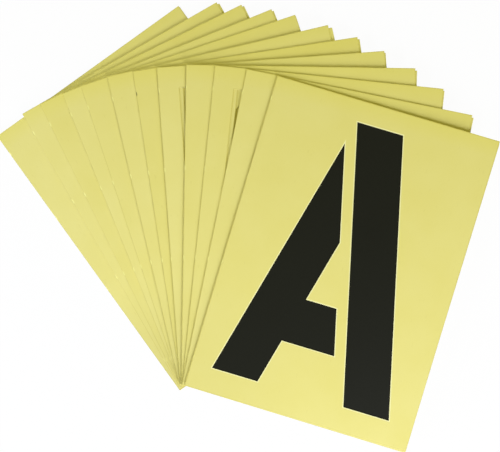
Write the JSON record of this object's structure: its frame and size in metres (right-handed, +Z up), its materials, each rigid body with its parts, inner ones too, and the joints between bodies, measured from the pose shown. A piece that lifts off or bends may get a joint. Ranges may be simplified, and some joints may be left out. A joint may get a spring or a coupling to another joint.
{
  "type": "stencil set",
  "caption": "Set of flat letter and number stencils of yellow oiled board, fanned out about one corner, with a plain black sheet behind the front letter, for painting signs and markings.",
  "frame": {"origin": "where the upright line that the sheets turn about meets the surface that the set lies on", "axes": "+Z up, square to the sheets; +Y up along the front sheet's left edge, +X along its bottom edge"},
  "size_m": [0.5424, 0.4443, 0.0221],
  "materials": {
    "oil_board": "satin, oiled",
    "black_board": "matte"
  },
  "bodies": {
    "stencil_9": {"stencil_9": "oil_board"},
    "stencil_8": {"stencil_8": "oil_board"},
    "stencil_7": {"stencil_7": "oil_board"},
    "stencil_6": {"stencil_6": "oil_board"},
    "stencil_5": {"stencil_5": "oil_board"},
    "stencil_4": {"stencil_4": "oil_board"},
    "stencil_3": {"stencil_3": "oil_board"},
    "stencil_2": {"stencil_2": "oil_board"},
    "stencil_1": {"stencil_1": "oil_board"},
    "stencil_0": {"stencil_0": "oil_board"},
    "stencil_z": {"stencil_z": "oil_board"},
    "stencil_y": {"stencil_y": "oil_board"},
    "stencil_x": {"stencil_x": "oil_board"},
    "stencil_w": {"stencil_w": "oil_board"},
    "stencil_v": {"stencil_v": "oil_board"},
    "stencil_u": {"stencil_u": "oil_board"},
    "stencil_t": {"stencil_t": "oil_board"},
    "stencil_s": {"stencil_s": "oil_board"},
    "stencil_r": {"stencil_r": "oil_board"},
    "stencil_q": {"stencil_q": "oil_board"},
    "stencil_p": {"stencil_p": "oil_board"},
    "stencil_o": {"stencil_o": "oil_board"},
    "stencil_n": {"stencil_n": "oil_board"},
    "stencil_m": {"stencil_m": "oil_board"},
    "stencil_l": {"stencil_l": "oil_board"},
    "stencil_k": {"stencil_k": "oil_board"},
    "stencil_j": {"stencil_j": "oil_board"},
    "stencil_i": {"stencil_i": "oil_board"},
    "stencil_h": {"stencil_h": "oil_board"},
    "stencil_g": {"stencil_g": "oil_board"},
    "stencil_f": {"stencil_f": "oil_board"},
    "stencil_e": {"stencil_e": "oil_board"},
    "stencil_d": {"stencil_d": "oil_board"},
    "stencil_c": {"stencil_c": "oil_board"},
    "stencil_b": {"stencil_b": "oil_board"},
    "stencil_a": {"stencil_a": "oil_board", "backing_sheet": "black_board"}
  },
  "joints": [
    {"name": "stencil_8_turn", "type": "hinge", "parent": "stencil_9", "child": "stencil_8", "pos_m": [0, 0, 0], "axis": [0, 0, 1], "range_deg": [-9.49, 0.01]},
    {"name": "stencil_7_turn", "type": "hinge", "parent": "stencil_8", "child": "stencil_7", "pos_m": [0, 0, 0], "axis": [0, 0, 1], "range_deg": [-9.49, 0.01]},
    {"name": "stencil_6_turn", "type": "hinge", "parent": "stencil_7", "child": "stencil_6", "pos_m": [0, 0, 0], "axis": [0, 0, 1], "range_deg": [-9.49, 0.01]},
    {"name": "stencil_5_turn", "type": "hinge", "parent": "stencil_6", "child": "stencil_5", "pos_m": [0, 0, 0], "axis": [0, 0, 1], "range_deg": [-9.49, 0.01]},
    {"name": "stencil_4_turn", "type": "hinge", "parent": "stencil_5", "child": "stencil_4", "pos_m": [0, 0, 0], "axis": [0, 0, 1], "range_deg": [-9.49, 0.01]},
    {"name": "stencil_3_turn", "type": "hinge", "parent": "stencil_4", "child": "stencil_3", "pos_m": [0, 0, 0], "axis": [0, 0, 1], "range_deg": [-9.59, 0]},
    {"name": "stencil_2_turn", "type": "hinge", "parent": "stencil_3", "child": "stencil_2", "pos_m": [0, 0, 0], "axis": [0, 0, 1], "range_deg": [-3.38, 6.12]},
    {"name": "stencil_1_turn", "type": "hinge", "parent": "stencil_2", "child": "stencil_1", "pos_m": [0, 0, 0], "axis": [0, 0, 1], "range_deg": [-9.46, 0.04]},
    {"name": "stencil_0_turn", "type": "hinge", "parent": "stencil_1", "child": "stencil_0", "pos_m": [0, 0, 0], "axis": [0, 0, 1], "range_deg": [-9.86, 0]},
    {"name": "stencil_z_turn", "type": "hinge", "parent": "stencil_0", "child": "stencil_z", "pos_m": [0, 0, 0], "axis": [0, 0, 1], "range_deg": [-5.58, 3.92]},
    {"name": "stencil_y_turn", "type": "hinge", "parent": "stencil_z", "child": "stencil_y", "pos_m": [0, 0, 0], "axis": [0, 0, 1], "range_deg": [-9.46, 0.04]},
    {"name": "stencil_x_turn", "type": "hinge", "parent": "stencil_y", "child": "stencil_x", "pos_m": [0, 0, 0], "axis": [0, 0, 1], "range_deg": [-9.86, 0]},
    {"name": "stencil_w_turn", "type": "hinge", "parent": "stencil_x", "child": "stencil_w", "pos_m": [0, 0, 0], "axis": [0, 0, 1], "range_deg": [-4.94, 4.56]},
    {"name": "stencil_v_turn", "type": "hinge", "parent": "stencil_w", "child": "stencil_v", "pos_m": [0, 0, 0], "axis": [0, 0, 1], "range_deg": [-9.47, 0.03]},
    {"name": "stencil_u_turn", "type": "hinge", "parent": "stencil_v", "child": "stencil_u", "pos_m": [0, 0, 0], "axis": [0, 0, 1], "range_deg": [-9.8, 0]},
    {"name": "stencil_t_turn", "type": "hinge", "parent": "stencil_u", "child": "stencil_t", "pos_m": [0, 0, 0], "axis": [0, 0, 1], "range_deg": [-5.81, 3.69]},
    {"name": "stencil_s_turn", "type": "hinge", "parent": "stencil_t", "child": "stencil_s", "pos_m": [0, 0, 0], "axis": [0, 0, 1], "range_deg": [-9.59, 0]},
    {"name": "stencil_r_turn", "type": "hinge", "parent": "stencil_s", "child": "stencil_r", "pos_m": [0, 0, 0], "axis": [0, 0, 1], "range_deg": [-3.7, 5.8]},
    {"name": "stencil_q_turn", "type": "hinge", "parent": "stencil_r", "child": "stencil_q", "pos_m": [0, 0, 0], "axis": [0, 0, 1], "range_deg": [-9.43, 0.07]},
    {"name": "stencil_p_turn", "type": "hinge", "parent": "stencil_q", "child": "stencil_p", "pos_m": [0, 0, 0], "axis": [0, 0, 1], "range_deg": [-10.18, 0]},
    {"name": "stencil_o_turn", "type": "hinge", "parent": "stencil_p", "child": "stencil_o", "pos_m": [0, 0, 0], "axis": [0, 0, 1], "range_deg": [-4.64, 4.86]},
    {"name": "stencil_n_turn", "type": "hinge", "parent": "stencil_o", "child": "stencil_n", "pos_m": [0, 0, 0], "axis": [0, 0, 1], "range_deg": [-9.86, 0]},
    {"name": "stencil_m_turn", "type": "hinge", "parent": "stencil_n", "child": "stencil_m", "pos_m": [0, 0, 0], "axis": [0, 0, 1], "range_deg": [-4.78, 4.72]},
    {"name": "stencil_l_turn", "type": "hinge", "parent": "stencil_m", "child": "stencil_l", "pos_m": [0, 0, 0], "axis": [0, 0, 1], "range_deg": [-9.47, 0.03]},
    {"name": "stencil_k_turn", "type": "hinge", "parent": "stencil_l", "child": "stencil_k", "pos_m": [0, 0, 0], "axis": [0, 0, 1], "range_deg": [-9.75, 0]},
    {"name": "stencil_j_turn", "type": "hinge", "parent": "stencil_k", "child": "stencil_j", "pos_m": [0, 0, 0], "axis": [0, 0, 1], "range_deg": [-4.12, 5.38]},
    {"name": "stencil_i_turn", "type": "hinge", "parent": "stencil_j", "child": "stencil_i", "pos_m": [0, 0, 0], "axis": [0, 0, 1], "range_deg": [-9.46, 0.04]},
    {"name": "stencil_h_turn", "type": "hinge", "parent": "stencil_i", "child": "stencil_h", "pos_m": [0, 0, 0], "axis": [0, 0, 1], "range_deg": [-9.46, 0.04]},
    {"name": "stencil_g_turn", "type": "hinge", "parent": "stencil_h", "child": "stencil_g", "pos_m": [0, 0, 0], "axis": [0, 0, 1], "range_deg": [-9.86, 0]},
    {"name": "stencil_f_turn", "type": "hinge", "parent": "stencil_g", "child": "stencil_f", "pos_m": [0, 0, 0], "axis": [0, 0, 1], "range_deg": [-4.25, 5.25]},
    {"name": "stencil_e_turn", "type": "hinge", "parent": "stencil_f", "child": "stencil_e", "pos_m": [0, 0, 0], "axis": [0, 0, 1], "range_deg": [-9.75, 0]},
    {"name": "stencil_d_turn", "type": "hinge", "parent": "stencil_e", "child": "stencil_d", "pos_m": [0, 0, 0], "axis": [0, 0, 1], "range_deg": [-3.44, 6.06]},
    {"name": "stencil_c_turn", "type": "hinge", "parent": "stencil_d", "child": "stencil_c", "pos_m": [0, 0, 0], "axis": [0, 0, 1], "range_deg": [-9.86, 0]},
    {"name": "stencil_b_turn", "type": "hinge", "parent": "stencil_c", "child": "stencil_b", "pos_m": [0, 0, 0], "axis": [0, 0, 1], "range_deg": [-4.08, 5.42]},
    {"name": "stencil_a_turn", "type": "hinge", "parent": "stencil_b", "child": "stencil_a", "pos_m": [0, 0, 0], "axis": [0, 0, 1], "range_deg": [-9.81, 0]}
  ]
}
